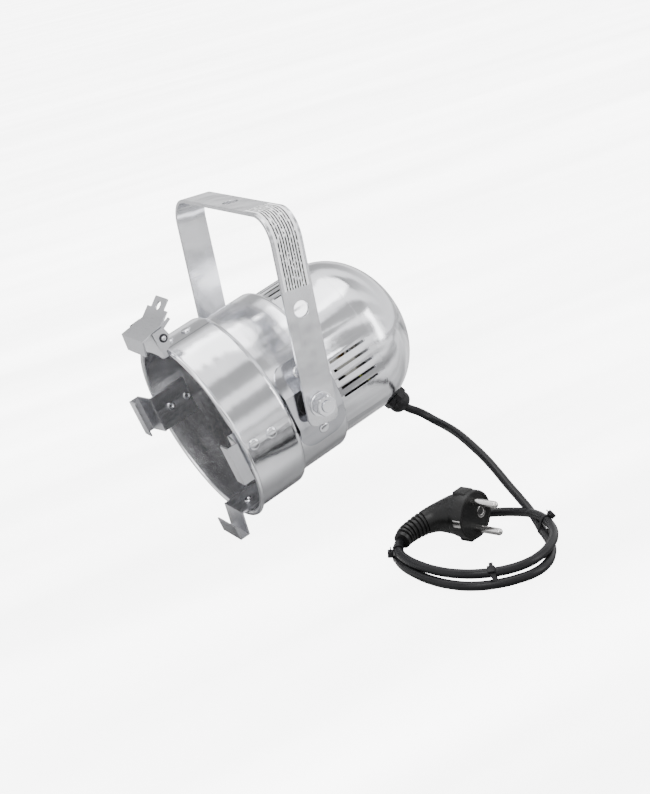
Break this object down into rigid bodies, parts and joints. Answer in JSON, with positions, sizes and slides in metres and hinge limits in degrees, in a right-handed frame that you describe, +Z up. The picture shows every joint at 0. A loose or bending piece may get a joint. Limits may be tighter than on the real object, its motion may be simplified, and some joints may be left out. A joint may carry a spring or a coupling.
{
  "type": "par can light",
  "caption": "Short spun-aluminium par can light tilting in a flat hanging bail, with a sprung colour-frame latch, screw lampholder and mains lead with plug.",
  "frame": {"origin": "centre of the bail's hanging hole, on the bail's top face", "axes": "+X along the tilt axis towards the arm with the side hole, +Y towards the rear of the housing, +Z up out of the hanging hole"},
  "size_m": [0.3145, 0.1993, 0.2272],
  "materials": {
    "polished_aluminium": "polished spun aluminium",
    "satin_aluminium": "satin rolled aluminium sheet",
    "zinc_steel": "bright zinc plate",
    "fibre": "dark fibre",
    "spring_steel": "dark spring steel",
    "porcelain": "unglazed off-white ceramic",
    "brass": "bright brass",
    "wire_brown": "brown sleeving",
    "wire_blue": "blue sleeving",
    "wire_green": "green and yellow sleeving",
    "gland_plastic": "black moulded nylon",
    "cord_rubber": "black rubber sheath",
    "plug_plastic": "black moulded vinyl",
    "nickel": "nickel plate"
  },
  "bodies": {
    "bail": {"bail": "satin_aluminium"},
    "can": {"barrel": "polished_aluminium", "rear_cap": "polished_aluminium", "plate_right": "polished_aluminium", "plate_left": "polished_aluminium", "pivot_bolts": "zinc_steel", "lock_nuts": "zinc_steel", "friction_washers": "fibre", "pivot_washers": "zinc_steel", "pivot_nuts": "zinc_steel", "clip_right": "satin_aluminium", "clip_left": "satin_aluminium", "clip_bottom": "satin_aluminium", "clip_rivets": "zinc_steel", "plate_rivets": "zinc_steel", "latch_bracket": "satin_aluminium", "latch_pin": "zinc_steel", "latch_washers": "spring_steel", "latch_spring": "spring_steel", "lampholder": "porcelain", "thread_shell": "brass", "centre_contact": "brass", "holder_bar": "satin_aluminium", "holder_screws": "zinc_steel", "holder_terminals": "brass", "earth_screw": "zinc_steel", "wire_live": "wire_brown", "wire_neutral": "wire_blue", "wire_earth": "wire_green", "gland_body": "gland_plastic", "gland_nut": "gland_plastic", "cord_lead": "cord_rubber", "cord_coil": "cord_rubber", "cord_tail": "cord_rubber", "plug_body": "plug_plastic", "plug_pins": "nickel", "plug_earth_contacts": "nickel", "cable_ties": "gland_plastic"},
    "latch": {"latch_gate": "satin_aluminium"}
  },
  "joints": [
    {"name": "bail_tilt", "type": "hinge", "parent": "bail", "child": "can", "pos_m": [0, 0, -0.131], "axis": [1, 0, 0], "range_deg": [-78, 100]},
    {"name": "latch_hinge", "type": "hinge", "parent": "can", "child": "latch", "pos_m": [0, -0.07648, -0.06936], "axis": [-1, 0, 0], "range_deg": [0, 60], "stiffness_Nm_per_rad": 0.02, "springref_deg": -28.65, "deforming": ["latch_spring"]}
  ]
}
